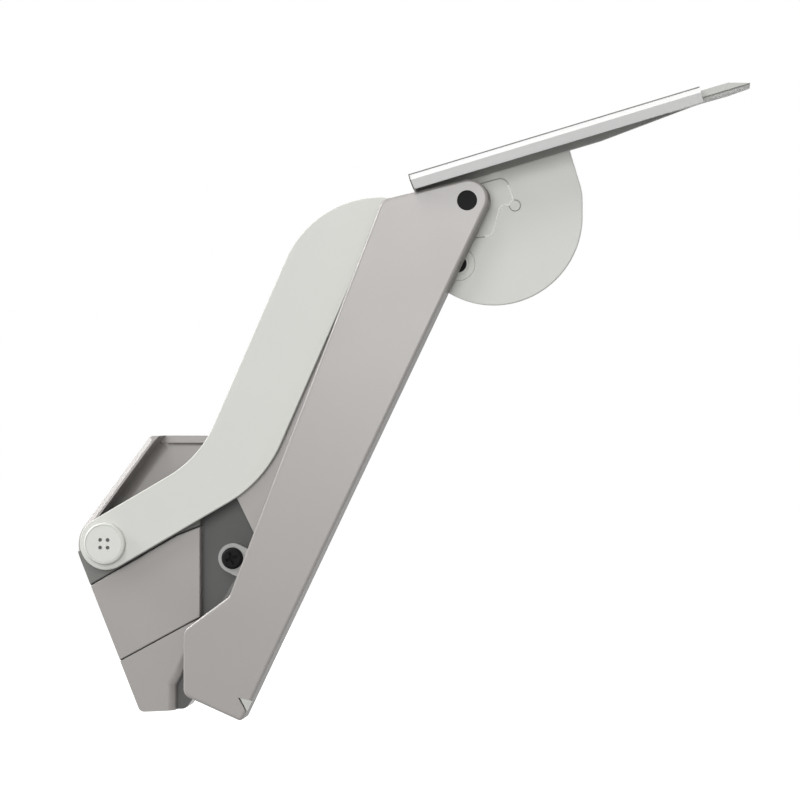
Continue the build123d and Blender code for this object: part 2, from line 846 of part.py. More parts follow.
left_of_ledge = [
    bar_point(-wide, 0),
    bar_point(sector_ledge_along, 0),
    bar_point(sector_ledge_along, -sector_ledge_drop),
    bar_point(-wide, -sector_ledge_drop),
]
with BuildPart() as bracket_plate:
    with BuildSketch(depth(bracket_start)) as bracket_face:
        with Locations(sector_centre):
            Circle(bracket_radius)
        Polygon(*under_bar(bar_wall), align=None, mode=Mode.INTERSECT)
        Polygon(*left_of_ledge, align=None, mode=Mode.SUBTRACT)
        Polygon(
            bar_point(bracket_bar_start, -bar_wall),
            bar_point(bracket_bar_end, -bar_wall),
            bar_point(bracket_bar_end, -bracket_tip_drop),
            bar_point(bar_length - bracket_slope_run, -bracket_bar_drop),
            bar_point(bracket_bar_start, -bracket_bar_drop),
            align=None,
        )
        with Locations(flap_pivot):
            Circle(axle_tip_radius + running_fit, mode=Mode.SUBTRACT)
        with Locations(link_pivot):
            Circle(link_pin_radius + loose_fit, mode=Mode.SUBTRACT)
        with Locations(bush_centre):
            Circle(bush_bore, mode=Mode.SUBTRACT)
    extrude(amount=bracket_thick)
save(bracket_plate, "bracket_plate")

# Insert round the axle, with a wavy right edge, and the sector cover around it
insert_corners = {
    insert_top_right: insert_top_round,
    insert_waist: insert_waist_round,
    insert_low_right: insert_low_round,
}
with BuildSketch(Plane.XY) as insert_shape:
    Polygon(
        insert_top_left,
        insert_top_right,
        stud_centre,
        insert_waist,
        insert_low_right,
        insert_low_left,
        align=None,
    )
    for corner, corner_radius in insert_corners.items():
        fillet(near(insert_shape.vertices(), corner), corner_radius)

with BuildPart() as axle_insert:
    with BuildSketch(depth(sector_start)) as insert_face:
        add(insert_shape.sketch)
        with Locations(stud_centre):
            Circle(stud_radius + parting_gap, mode=Mode.SUBTRACT)
        with Locations(flap_pivot):
            Circle(axle_tip_radius + running_fit, mode=Mode.SUBTRACT)
    extrude(amount=sector_thick - insert_recess)
save(axle_insert, "axle_insert")

sector_shoulder = along(sector_centre, sector_edge_angle, sector_edge_reach)
with BuildPart() as sector_cover:
    with BuildSketch(depth(sector_start)) as sector_face:
        with Locations(sector_centre):
            Circle(sector_radius)
        Polygon(
            bar_point(sector_ledge_along, -sector_top_drop),
            bar_point(sector_corner_along, -sector_top_drop),
            sector_shoulder,
            along(sector_centre, 0, sector_radius),
            sector_centre,
            bar_point(sector_ledge_along, -sector_ledge_drop),
            align=None,
        )
        Polygon(*under_bar(sector_top_drop), align=None, mode=Mode.INTERSECT)
        Polygon(*left_of_ledge, align=None, mode=Mode.SUBTRACT)
        fillet(near(sector_face.vertices(), sector_shoulder), sector_edge_round)
        add(offset(insert_shape.sketch, parting_gap, mode=Mode.PRIVATE), mode=Mode.SUBTRACT)
        with Locations(stud_centre):
            Circle(stud_radius + parting_gap, mode=Mode.SUBTRACT)
        with Locations(bush_centre):
            Circle(bush_radius, mode=Mode.SUBTRACT)
    extrude(amount=sector_thick)
    chamfer(sector_cover.faces().sort_by(Axis.Y)[0].edges(), sector_edge)
save(sector_cover, "sector_cover")

bush_proud = 0.2
with BuildPart() as adjuster_bush:
    with BuildSketch(depth(sector_start)) as adjuster_bush_face:
        with Locations(bush_centre):
            Circle(bush_radius)
            Circle(bush_bore, mode=Mode.SUBTRACT)
    extrude(amount=sector_thick + bush_proud)
save(adjuster_bush, "adjuster_bush")

socket_width = 4.0
socket_depth = 2.0
with BuildPart() as adjuster_screw:
    with BuildSketch(depth(bracket_start)) as adjuster_face:
        with Locations(bush_centre):
            Circle(bush_bore - running_fit)
    extrude(amount=bracket_thick + sector_thick)
    with BuildSketch(depth(sector_end)) as adjuster_socket:
        with Locations(bush_centre):
            RegularPolygon(socket_width / 2, 6, major_radius=False)
    extrude(amount=-socket_depth, mode=Mode.SUBTRACT)
save(adjuster_screw, "adjuster_screw")

with BuildPart() as sector_stud:
    with BuildSketch(depth(sector_start)) as stud_face:
        with Locations(stud_centre):
            Circle(stud_radius)
    extrude(amount=sector_thick + bush_proud)
save(sector_stud, "sector_stud")

# Flap bar: a folded channel, open at both ends, with a slanted front return and a short rear lip
bar_direction = (cos(radians(bar_tilt)), 0, sin(radians(bar_tilt)))


def bar_section(run):
    """Plane across the bar: local X is depth towards the room, local Y is down from the top face."""
    corner = bar_point(run, 0)
    return Plane((corner[0], 0, corner[1]), (0, -1, 0), bar_direction)


bar_back = bar_front - bar_width
bar_profile = [
    (bar_back, 0),
    (bar_front, 0),
    (bar_front, bar_face),
    (bar_front - bar_slant, bar_height),
    (bar_front - bar_slant - bar_wall, bar_height),
    (bar_front - bar_wall, bar_face),
    (bar_front - bar_wall, bar_wall),
    (bar_back + bar_wall, bar_wall),
    (bar_back + bar_wall, bar_back_lip),
    (bar_back, bar_back_lip),
]
bar_low_corner = bar_section(0).from_local_coords(Vector(bar_front - bar_slant - bar_wall / 2, bar_height, 0))
with BuildPart() as flap_bar:
    with BuildSketch(bar_section(0)) as bar_face_sketch:
        Polygon(*bar_profile, align=None)
    extrude(amount=bar_length)
    fillet(flap_bar.edges().sort_by_distance(bar_low_corner)[0], bar_end_round)
    flap_hole_plane = Plane(
        (bar_point(bar_length / 2, 0)[0], -(bar_front + bar_back) / 2, bar_point(bar_length / 2, 0)[1]),
        bar_direction,
        (-sin(radians(bar_tilt)), 0, cos(radians(bar_tilt))),
    )
    with BuildSketch(flap_hole_plane) as flap_holes:
        with GridLocations(flap_hole_spacing, 1, 2, 1):
            Circle(flap_hole_radius)
    extrude(amount=-bar_wall, mode=Mode.SUBTRACT)
save(flap_bar, "flap_bar")

# Tongue that plugs into the far end of the bar, with a step along its front
tongue_start = sector_start + loose_fit


def tongue_face(*corners):
    """Corners given past the bar's end and above its top face, as X and Z."""
    return [bar_point(bar_length + run, rise) for run, rise in corners]


with BuildPart() as bar_tongue:
    with BuildSketch(depth(tongue_start)) as tongue_upper:
        Polygon(
            *tongue_face((0, -tongue_start_drop), tongue_shoulder, tongue_tip, (0, tongue_tip[1])),
            align=None,
        )
    extrude(amount=tongue_width)
    with BuildSketch(depth(tongue_start)) as tongue_lower:
        Polygon(
            *tongue_face((0, tongue_tip[1]), tongue_tip, tongue_nose, tongue_belly, (0, -tongue_plug_drop)),
            align=None,
        )
    extrude(amount=tongue_width - tongue_step)
    with BuildSketch(depth(tongue_start)) as tongue_plug_face:
        Polygon(
            *tongue_face(
                (-tongue_plug, -bar_wall),
                (0, -bar_wall),
                (0, -tongue_plug_drop),
                (-tongue_plug, -tongue_plug_drop),
            ),
            align=None,
        )
    extrude(amount=tongue_width)
save(bar_tongue, "bar_tongue")
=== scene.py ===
"""Looks of the lift-up flap fitting: finishes, raised trim, springs, studio light and camera.

Metres throughout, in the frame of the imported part: X to the cabinet front, Z up, -Y to the room.
"""
import json
import math

import bmesh
import bpy
import numpy as np
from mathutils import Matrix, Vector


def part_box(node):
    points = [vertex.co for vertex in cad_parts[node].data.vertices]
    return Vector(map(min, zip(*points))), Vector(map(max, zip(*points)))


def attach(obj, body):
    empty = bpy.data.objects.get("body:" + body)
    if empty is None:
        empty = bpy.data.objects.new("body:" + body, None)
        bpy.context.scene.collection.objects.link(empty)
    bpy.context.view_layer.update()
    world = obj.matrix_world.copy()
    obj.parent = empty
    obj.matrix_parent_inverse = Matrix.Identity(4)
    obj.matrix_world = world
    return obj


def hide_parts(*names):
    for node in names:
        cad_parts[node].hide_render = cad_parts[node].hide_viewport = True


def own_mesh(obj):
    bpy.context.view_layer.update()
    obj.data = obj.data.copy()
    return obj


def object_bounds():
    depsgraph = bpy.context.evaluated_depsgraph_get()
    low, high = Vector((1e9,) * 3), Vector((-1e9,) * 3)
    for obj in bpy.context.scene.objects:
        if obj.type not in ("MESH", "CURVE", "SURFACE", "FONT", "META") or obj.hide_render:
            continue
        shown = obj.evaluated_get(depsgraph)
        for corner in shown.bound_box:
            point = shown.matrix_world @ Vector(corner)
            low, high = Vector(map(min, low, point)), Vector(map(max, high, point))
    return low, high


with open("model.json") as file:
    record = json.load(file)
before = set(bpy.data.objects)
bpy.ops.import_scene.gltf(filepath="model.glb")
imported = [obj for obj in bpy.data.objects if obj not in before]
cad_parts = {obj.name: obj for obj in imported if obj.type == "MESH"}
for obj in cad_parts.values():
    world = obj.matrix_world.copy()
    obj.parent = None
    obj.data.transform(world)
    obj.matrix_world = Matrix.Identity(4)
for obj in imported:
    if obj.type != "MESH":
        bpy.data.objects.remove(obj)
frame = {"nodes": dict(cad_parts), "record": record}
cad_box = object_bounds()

MM = 0.001
MOUNTS = {mount["name"]: mount for mount in frame["record"]["mounts"]}
JOINTS = {joint["name"]: joint for joint in frame["record"]["behaviour"]["joints"]}


# Shader helpers

LINE_STRETCH = (1.0, 0.04, 1.0)


def add_node(tree, kind, **values):
    """A new node with its inputs set by name; spaces in socket names are written as underscores."""
    made = tree.nodes.new(kind)
    for name, value in values.items():
        made.inputs[name.replace("_", " ")].default_value = value
    return made


def feed(tree, socket, value):
    """Sets a socket to a number, or links it to another socket."""
    if isinstance(value, (int, float)):
        socket.default_value = value
    else:
        tree.links.new(value, socket)


def add_math(tree, operation, first, second):
    """Result of a math node; each side is a number or a socket."""
    made = tree.nodes.new("ShaderNodeMath")
    made.operation = operation
    feed(tree, made.inputs[0], first)
    feed(tree, made.inputs[1], second)
    return made.outputs["Value"]


def map_range(tree, source, low, high):
    """Spreads a 0 to 1 value between two ends; each end is a number or a socket."""
    spread = tree.nodes.new("ShaderNodeMapRange")
    feed(tree, spread.inputs["Value"], source)
    feed(tree, spread.inputs["To Min"], low)
    feed(tree, spread.inputs["To Max"], high)
    return spread.outputs["Result"]


def swing(tree, source, middle, change):
    """Spreads a 0 to 1 value from middle less change to middle plus change."""
    low = add_math(tree, "SUBTRACT", middle, change)
    high = add_math(tree, "ADD", middle, change)
    return map_range(tree, source, low, high)


def new_group(name, inputs, outputs):
    """An empty shader node group with named sockets, and its input and output nodes."""
    group = bpy.data.node_groups.new(name, "ShaderNodeTree")
    for label, kind, start in inputs:
        socket = group.interface.new_socket(label, in_out="INPUT", socket_type=kind)
        if start is not None:
            socket.default_value = start
    for label, kind in outputs:
        group.interface.new_socket(label, in_out="OUTPUT", socket_type=kind)
    return group, group.nodes.new("NodeGroupInput"), group.nodes.new("NodeGroupOutput")


def mottle_group():
    """Slow cloudy change of tone and gloss, with a fine grain on top.

    Tone is Color made darker and lighter by Depth; Roughness is Gloss moved by Spread; Height is the grain.
    """
    inputs = (
        ("Vector", "NodeSocketVector", None),
        ("Color", "NodeSocketColor", (0.5, 0.5, 0.5, 1.0)),
        ("Cloud Scale", "NodeSocketFloat", 25.0),
        ("Depth", "NodeSocketFloat", 0.03),
        ("Gloss", "NodeSocketFloat", 0.5),
        ("Spread", "NodeSocketFloat", 0.05),
        ("Grain Scale", "NodeSocketFloat", 2500.0),
    )
    outputs = (
        ("Tone", "NodeSocketColor"),
        ("Roughness", "NodeSocketFloat"),
        ("Height", "NodeSocketFloat"),
    )
    group, start, end = new_group("mottle", inputs, outputs)
    given = start.outputs
    cloud = add_node(group, "ShaderNodeTexNoise", Detail=4.0, Roughness=0.55)
    grain = add_node(group, "ShaderNodeTexNoise", Detail=2.0, Roughness=0.6)
    for noise, scale in ((cloud, "Cloud Scale"), (grain, "Grain Scale")):
        group.links.new(given["Vector"], noise.inputs["Vector"])
        group.links.new(given[scale], noise.inputs["Scale"])
    tone = group.nodes.new("ShaderNodeVectorMath")
    tone.operation = "SCALE"
    group.links.new(given["Color"], tone.inputs[0])
    group.links.new(swing(group, cloud.outputs["Fac"], 1.0, given["Depth"]), tone.inputs["Scale"])
    gloss = swing(group, cloud.outputs["Fac"], given["Gloss"], given["Spread"])
    group.links.new(tone.outputs["Vector"], end.inputs["Tone"])
    group.links.new(gloss, end.inputs["Roughness"])
    group.links.new(grain.outputs["Fac"], end.inputs["Height"])
    return group


def drawn_lines_group():
    """Fine parallel lines left by drawing or turning metal: noise stretched along one axis."""
    inputs = (
        ("Vector", "NodeSocketVector", None),
        ("Gloss", "NodeSocketFloat", 0.35),
        ("Spread", "NodeSocketFloat", 0.1),
        ("Line Scale", "NodeSocketFloat", 1800.0),
    )
    outputs = (("Roughness", "NodeSocketFloat"), ("Height", "NodeSocketFloat"))
    group, start, end = new_group("drawn_lines", inputs, outputs)
    given = start.outputs
    stretch = add_node(group, "ShaderNodeMapping", Scale=LINE_STRETCH)
    lines = add_node(group, "ShaderNodeTexNoise", Detail=2.0)
    group.links.new(given["Vector"], stretch.inputs["Vector"])
    group.links.new(stretch.outputs["Vector"], lines.inputs["Vector"])
    group.links.new(given["Line Scale"], lines.inputs["Scale"])
    gloss = swing(group, lines.outputs["Fac"], given["Gloss"], given["Spread"])
    group.links.new(gloss, end.inputs["Roughness"])
    group.links.new(lines.outputs["Fac"], end.inputs["Height"])
    return group


MOTTLE = mottle_group()
DRAWN_LINES = drawn_lines_group()


# Ways of finishing a surface

COATED_RELIEF = 4e-6
METAL_RELIEF = 3e-6
FADE_FROM = 0.6
FADE_TO = 0.9


def srgb(red, green, blue):
    """Linear colour of an 8-bit screen colour."""
    screen = np.array([red, green, blue]) / 255.0
    linear = np.where(screen <= 0.04045, screen / 12.92, ((screen + 0.055) / 1.055) ** 2.4)
    return (*linear.tolist(), 1.0)


def new_material(name, metallic=0.0):
    """An empty material, its node tree and its Principled shader."""
    material = bpy.data.materials.new(name)
    material.use_nodes = True
    shader = material.node_tree.nodes["Principled BSDF"]
    shader.inputs["Metallic"].default_value = metallic
    return material, material.node_tree, shader


def place_group(tree, group, values):
    """A node group in a material, on the object's own coordinates and with its own values."""
    made = tree.nodes.new("ShaderNodeGroup")
    made.node_tree = group
    for label, value in values.items():
        made.inputs[label].default_value = value
    place = tree.nodes.new("ShaderNodeTexCoord")
    tree.links.new(place.outputs["Object"], made.inputs["Vector"])
    return made


def take_surface(tree, shader, group, relief):
    """Feeds a group's roughness and height to the shader, with the real height of the relief in metres."""
    tree.links.new(group.outputs["Roughness"], shader.inputs["Roughness"])
    bump = add_node(tree, "ShaderNodeBump", Strength=1.0, Distance=relief)
    tree.links.new(group.outputs["Height"], bump.inputs["Height"])
    tree.links.new(bump.outputs["Normal"], shader.inputs["Normal"])


def coated(name, color, gloss, depth=0.03, grain=2500.0, relief=COATED_RELIEF, specular=0.5):
    """Plastic or paint: the mottle group over one colour, with a fine relief."""
    material, tree, shader = new_material(name)
    shader.inputs["Specular IOR Level"].default_value = specular
    values = {"Color": color, "Depth": depth, "Gloss": gloss, "Grain Scale": grain}
    mottle = place_group(tree, MOTTLE, values)
    tree.links.new(mottle.outputs["Tone"], shader.inputs["Base Color"])
    take_surface(tree, shader, mottle, relief)
    return material


def bare_metal(name, color, gloss):
    """Bare steel with the lines that drawing or turning leaves."""
    material, tree, shader = new_material(name, metallic=1.0)
    shader.inputs["Base Color"].default_value = color
    drawn = place_group(tree, DRAWN_LINES, {"Gloss": gloss})
    take_surface(tree, shader, drawn, METAL_RELIEF)
    return material


def fade_edge_on(material):
    """Lets the reflection fade on surfaces seen edge-on, as fine moulded texture does."""
    tree = material.node_tree
    level = tree.nodes["Principled BSDF"].inputs["Specular IOR Level"]
    weight = add_node(tree, "ShaderNodeLayerWeight", Blend=0.5)
    fade = add_node(tree, "ShaderNodeMapRange", From_Min=FADE_FROM, From_Max=FADE_TO, To_Max=0.0)
    fade.inputs["To Min"].default_value = level.default_value
    tree.links.new(weight.outputs["Facing"], fade.inputs["Value"])
    tree.links.new(fade.outputs["Result"], level)
    return material


# Finishes, one for each material slot of the part, and one for the front arm cover

TAUPE = {"color": srgb(150, 146, 143), "gloss": 0.33, "grain": 2200.0, "relief": 5e-6, "specular": 0.75}

FINISHES = {
    "taupe_plastic": coated("taupe_plastic", **TAUPE),
    "dark_steel": coated("dark_steel", srgb(75, 75, 74), 0.5, depth=0.06),
    # strip_steel is darker than the housing's taupe plastic: on the pivot cover it is painted shade of the
    # control arm's shadow; the bar's dark edge strip uses it too
    "strip_steel": coated("strip_steel", srgb(110, 110, 107), 0.5, depth=0.05),
    "lug_steel": coated("lug_steel", srgb(150, 150, 148), 0.45, depth=0.04),
    "grey_paint": coated("grey_paint", srgb(208, 209, 204), 0.6, grain=1400.0, specular=0.25),
    "bracket_steel": coated("bracket_steel", srgb(158, 158, 154), 0.5, depth=0.05),
    "clip_plastic": coated("clip_plastic", srgb(186, 187, 183), 0.5),
    "pale_plastic": coated("pale_plastic", srgb(213, 214, 209), 0.6, specular=0.25),
    "rivet_steel": coated("rivet_steel", srgb(212, 213, 208), 0.5, specular=0.3),
    "bright_steel": bare_metal("bright_steel", srgb(200, 200, 198), 0.3),
    "spring_steel": bare_metal("spring_steel", srgb(150, 150, 150), 0.35),
    "lever_steel": bare_metal("lever_steel", srgb(92, 92, 90), 0.45),
    "black_plastic": coated("black_plastic", srgb(30, 30, 30), 0.7, specular=0.1),
    "black_steel": coated("black_steel", srgb(28, 28, 28), 0.6, specular=0.05),
    "bush_plastic": coated("bush_plastic", srgb(225, 224, 218), 0.5),
    "bar_metal": coated("bar_metal", srgb(248, 248, 247), 0.5, depth=0.01, specular=0.4),
}

for subpart in frame["record"]["subparts"]:
    for holder in frame["nodes"][subpart["node"]].material_slots:
        holder.material = FINISHES[subpart["material_slot"]]

ARM_PLASTIC = fade_edge_on(coated("arm_plastic", **TAUPE))
frame["nodes"]["arm_cover"].material_slots[0].material = ARM_PLASTIC


# Helpers for new pieces


def add_piece(name, points, faces, body, slot):
    """A closed mesh at the origin, its faces outwards, that rides on a body and takes a slot's finish."""
    mesh = bpy.data.meshes.new(name)
    mesh.from_pydata(points.tolist(), [], faces)
    shell = bmesh.new()
    shell.from_mesh(mesh)
    bmesh.ops.recalc_face_normals(shell, faces=shell.faces)
    shell.to_mesh(mesh)
    shell.free()
    mesh.materials.append(FINISHES[slot])
    piece = bpy.data.objects.new(name, mesh)
    bpy.context.scene.collection.objects.link(piece)
    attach(piece, body)
    return piece


def carried_faces(stations, sides, closed=False):
    """Quads between the copies of a profile along a path; an open path gets a face at each end too."""
    spans = stations if closed else stations - 1
    row, column = np.meshgrid(np.arange(spans), np.arange(sides), indexing="ij")
    here, ahead = row * sides, (row + 1) % stations * sides
    beside = (column + 1) % sides
    corners = [here + column, here + beside, ahead + beside, ahead + column]
    quads = np.stack(corners, axis=-1).reshape(-1, 4).tolist()
    last = (stations - 1) * sides
    ends = [] if closed else [list(range(sides))[::-1], list(range(last, last + sides))]
    return quads + ends


def front_point(x, z, depth):
    """Point of the frame from X, Z and the depth in front of the cabinet panel, as arrays."""
    return np.stack(np.broadcast_arrays(x, -np.asarray(depth), z), axis=-1)


def circle(steps):
    """Unit vectors at equal steps round a circle, as X and Z."""
    turn = np.linspace(0.0, 2 * math.pi, steps, endpoint=False)
    return np.stack([np.cos(turn), np.sin(turn)], axis=1)


# Trim on the flap bar: dark strip along the top edge and the left end, and a cap in that end

BAR_LENGTH = 134.0 * MM
BAR_FRONT = 54.0 * MM
BAR_REAR = 18.0 * MM
BAR_FACE = 2.7 * MM
BAR_HEIGHT = 6.5 * MM
BAR_SLANT = 4.0 * MM
DARK_EDGE_WIDTH = 0.5 * MM
DARK_EDGE_PROUD = 0.12 * MM
CAP_FRONT = 0.05 * MM
CAP_BACK = 0.75 * MM
CAP_INSET = 0.6 * MM
CAP_FOOT = 1.1 * MM
CAP_FLOOR = 0.2 * MM
CAP_HEEL = 44.6 * MM


def bar_axes():
    """The bar's left top corner at the cabinet panel, and its run, rise and depth as rows."""
    face = MOUNTS["flap_face"]
    rise = np.array(face["axis"])
    run = np.array([rise[2], 0.0, -rise[0]])
    corner = (np.array(face["pos_m"]) - run * BAR_LENGTH / 2) * np.array([1.0, 0.0, 1.0])
    return corner, np.stack([run, rise, np.array([0.0, -1.0, 0.0])])


def bar_dark_edge():
    """A thin strip on the bar's outer face, along the top edge and down the left end.

    A rectangle is carried along four stations of the bar's outline. Its corners are the station
    itself, the station moved by the inward step, and both moved off the face along the facing.
    Steps and facings are in the bar's own axes: run, rise and depth.
    """
    stations = np.array([
        [BAR_LENGTH, 0.0, BAR_FRONT],
        [0.0, 0.0, BAR_FRONT],
        [0.0, -BAR_FACE, BAR_FRONT],
        [0.0, -BAR_HEIGHT, BAR_FRONT - BAR_SLANT],
    ])
    inward = DARK_EDGE_WIDTH * np.array([
        [0.0, -1.0, 0.0],
        [1.0, -1.0, 0.0],
        [1.0, 0.0, 0.0],
        [1.0, 0.0, 0.0],
    ])
    slope = math.atan2(BAR_SLANT, BAR_HEIGHT - BAR_FACE)
    turned = np.array([0.0, 0.0, slope / 2, slope])
    facing = DARK_EDGE_PROUD * np.stack([0.0 * turned, -np.sin(turned), np.cos(turned)], axis=1)
    profile = np.stack([stations, stations + facing, stations + inward + facing, stations + inward], axis=1)
    corner, axes = bar_axes()
    points = corner + profile.reshape(-1, 3) @ axes
    add_piece("bar_dark_edge", points, carried_faces(len(stations), 4), "flap_bracket", "strip_steel")


def bar_end_cap():
    """Thin plate with the bar's own section, and a short foot in front of the arm.

    The section is a list of rises and depths. It is carried along the run for the plate's thickness.
    """
    slant = BAR_SLANT / (BAR_HEIGHT - BAR_FACE)
    section = np.array([
        [-CAP_INSET, BAR_FRONT - CAP_INSET],
        [-BAR_FACE, BAR_FRONT - CAP_INSET],
        [-BAR_HEIGHT - CAP_FOOT, BAR_FRONT - BAR_SLANT - CAP_FOOT * slant],
        [-BAR_HEIGHT - CAP_FOOT, CAP_HEEL],
        [-BAR_HEIGHT - CAP_FLOOR, CAP_HEEL],
        [-BAR_HEIGHT - CAP_FLOOR, BAR_REAR + CAP_INSET],
        [-CAP_INSET, BAR_REAR + CAP_INSET],
    ])
    front = np.column_stack([np.full(len(section), CAP_FRONT), section])
    back = np.column_stack([np.full(len(section), CAP_BACK), section])
    corner, axes = bar_axes()
    points = corner + np.concatenate([front, back]) @ axes
    add_piece("bar_end_cap", points, carried_faces(2, len(section)), "flap_bracket", "bracket_steel")


bar_dark_edge()
bar_end_cap()


# Trim on the housing: coves in the tray, black strips in the seams between the covers as painted shade,
# dark discs in the rivet's punch marks as painted shade

COVE_STEPS = 12
TRAY_FLOOR = 2.0 * MM
WALL_FOOT = (-40.84 * MM, 20.19 * MM)
WALL_ANGLE = math.radians(53.04)
WALL_RUN = 50.9 * MM
WALL_COVE = 5.0 * MM
LIP_FOOT = (-6.5 * MM, 60.9 * MM)
LIP_ANGLE = 0.0
LIP_RUN = 46.0 * MM
LIP_COVE = 1.6 * MM
SEAM_WIDTH = 0.5 * MM
SEAM_BACK = 13.0 * MM
SEAM_FRONT = 17.9 * MM
SEAM_REACH = 0.75 * MM
UPPER_SEAM_START = (-39.5 * MM, -5.8 * MM)
UPPER_SEAM_LEGS = ((30.0, 47.0 * MM), (21.0, 10.0 * MM))
LOWER_SEAM_START = (-25.0 * MM, -41.2 * MM)
LOWER_SEAM_LEGS = ((28.5, 42.0 * MM),)
PUNCH_OFFSET = 1.8 * MM
PUNCH_RADIUS = 0.75 * MM
PUNCH_DROP = 0.35 * MM
PUNCH_THICK = 0.3 * MM
PUNCH_SIDES = 24


def tray_cove(name, foot, angle, run, radius):
    """Hollow quarter round where a wall of the tray meets its floor.

    Across the wall the profile is the corner and the arc u = r (1 - sin t), v = r (1 - cos t),
    with u away from the wall and v off the floor. It is carried straight along the wall's foot.
    """
    turn = np.linspace(0.0, math.pi / 2, COVE_STEPS)
    away = np.append(radius * (1.0 - np.sin(turn)), 0.0)
    rise = np.append(radius * (1.0 - np.cos(turn)), 0.0)
    step = np.array([[0.0], [run]])
    x = foot[0] + step * math.cos(angle) + away * math.sin(angle)
    z = foot[1] + step * math.sin(angle) - away * math.cos(angle)
    points = front_point(x, z, TRAY_FLOOR + rise).reshape(-1, 3)
    add_piece(name, points, carried_faces(2, len(away)), "housing", "taupe_plastic")


def seam_shade_strip(name, start, legs):
    """Black strip at the bottom of the gap between two covers, as painted shade of the joint; it also
    closes the gap.

    A rectangle across the gap is carried along the legs of the seam, each an angle and a length,
    from a little left of the start. Every station is moved sideways across its own leg.
    """
    angles = np.radians([legs[0][0]] + [angle for angle, length in legs])
    lengths = np.array([length for angle, length in legs])
    first = np.array(start) - SEAM_REACH * np.array([math.cos(angles[0]), math.sin(angles[0])])
    moves = lengths[:, None] * np.stack([np.cos(angles[1:]), np.sin(angles[1:])], axis=1)
    line = np.concatenate([[first], first + np.cumsum(moves, axis=0)])
    across = SEAM_WIDTH / 2 * np.stack([-np.sin(angles), np.cos(angles)], axis=1)
    side = np.array([1.0, -1.0, -1.0, 1.0])
    depth = np.array([SEAM_BACK, SEAM_BACK, SEAM_FRONT, SEAM_FRONT])
    place = line[:, None, :] + side[None, :, None] * across[:, None, :]
    points = front_point(place[..., 0], place[..., 1], depth).reshape(-1, 3)
    add_piece(name, points, carried_faces(len(line), 4), "housing", "black_plastic")


def punch_mark_shade():
    """Four dark discs a little below the face of the rivet, one in each punch mark, as painted shade in the
    marks.

    A circle is carried back for the thickness of a disc. The faces of one disc serve all four,
    moved on by as many points as a disc has.
    """
    pivot = np.array(JOINTS["control_arm_swing"]["pos_m"])
    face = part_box("control_rivet")[0][1]
    middles = pivot[[0, 2]] + PUNCH_OFFSET * np.array([[1.0, 1.0], [-1.0, 1.0], [-1.0, -1.0], [1.0, -1.0]])
    rim = middles[:, None, None, :] + PUNCH_RADIUS * circle(PUNCH_SIDES)
    depth = -face - PUNCH_DROP - np.array([[0.0], [PUNCH_THICK]])
    points = front_point(rim[..., 0], rim[..., 1], depth).reshape(-1, 3)
    disc = carried_faces(2, PUNCH_SIDES)
    shift = 2 * PUNCH_SIDES * np.arange(len(middles))[:, None, None]
    sides = (np.array(disc[:-2]) + shift).reshape(-1, 4)
    ends = (np.array(disc[-2:]) + shift).reshape(-1, PUNCH_SIDES)
    add_piece("punch_mark_shade", points, sides.tolist() + ends.tolist(), "housing", "dark_steel")


tray_cove("tray_wall_cove", WALL_FOOT, WALL_ANGLE, WALL_RUN, WALL_COVE)
tray_cove("tray_lip_cove", LIP_FOOT, LIP_ANGLE, LIP_RUN, LIP_COVE)
# Black strips in the cover seams: painted shade of the joints
seam_shade_strip("upper_seam_shade", UPPER_SEAM_START, UPPER_SEAM_LEGS)
seam_shade_strip("lower_seam_shade", LOWER_SEAM_START, LOWER_SEAM_LEGS)
# Dark discs in the rivet's punch marks: painted shade
punch_mark_shade()


# Raised bead round the insert in the sector cover, in the whiter bar finish as a painted highlight, and a
# ring on the adjuster bush

BEAD_HALF = 0.4 * MM
BEAD_FRONT = 30.8 * MM
BEAD_DEPTH = 0.9 * MM
BEAD_SIDES = 9
ARC_STEPS = 10
INSERT_TOP = np.array([157.6, 182.6]) * MM
INSERT_WAIST = np.array([155.2, 170.2]) * MM
INSERT_LOW = np.array([151.4, 156.0]) * MM
INSERT_END = np.array([131.0, 154.2]) * MM
INSERT_ROUND = 3.0 * MM
BEAD_START = 0.275
BEAD_END = 0.16
STUD_CENTRE = np.array([161.9, 169.6]) * MM
STUD_RING = 2.43 * MM
BUSH_CENTRE = np.array(JOINTS["adjuster_turn"]["pos_m"])[[0, 2]]
BUSH_RING = 5.0 * MM
BUSH_RING_FRONT = 31.0 * MM
BUSH_RING_STEPS = 64


def heading(step):
    """Angle of a step given as X and Z."""
    return math.atan2(step[1], step[0])


def arc(centre, radius, first, last):
    """Points of an arc between two angles."""
    turn = np.linspace(first, last, ARC_STEPS)[:, None]
    return centre + radius * np.concatenate([np.cos(turn), np.sin(turn)], axis=1)


def rounded(before, corner, after, radius):
    """Arc that rounds a corner between two straight runs.

    Its centre lies on the bisector of the corner, at the radius divided by the sine of half the angle.
    """
    back = (before - corner) / np.linalg.norm(before - corner)
    on = (after - corner) / np.linalg.norm(after - corner)
    bisector = (back + on) / np.linalg.norm(back + on)
    half = math.acos(float(np.clip(back @ bisector, -1.0, 1.0)))
    centre = corner + bisector * radius / math.sin(half)
    tangents = corner + np.stack([back, on]) * radius / math.tan(half)
    first, last = heading(tangents[0] - centre), heading(tangents[1] - centre)
    sweep = (last - first + math.pi) % (2 * math.pi) - math.pi
    return arc(centre, radius, first, first + sweep)


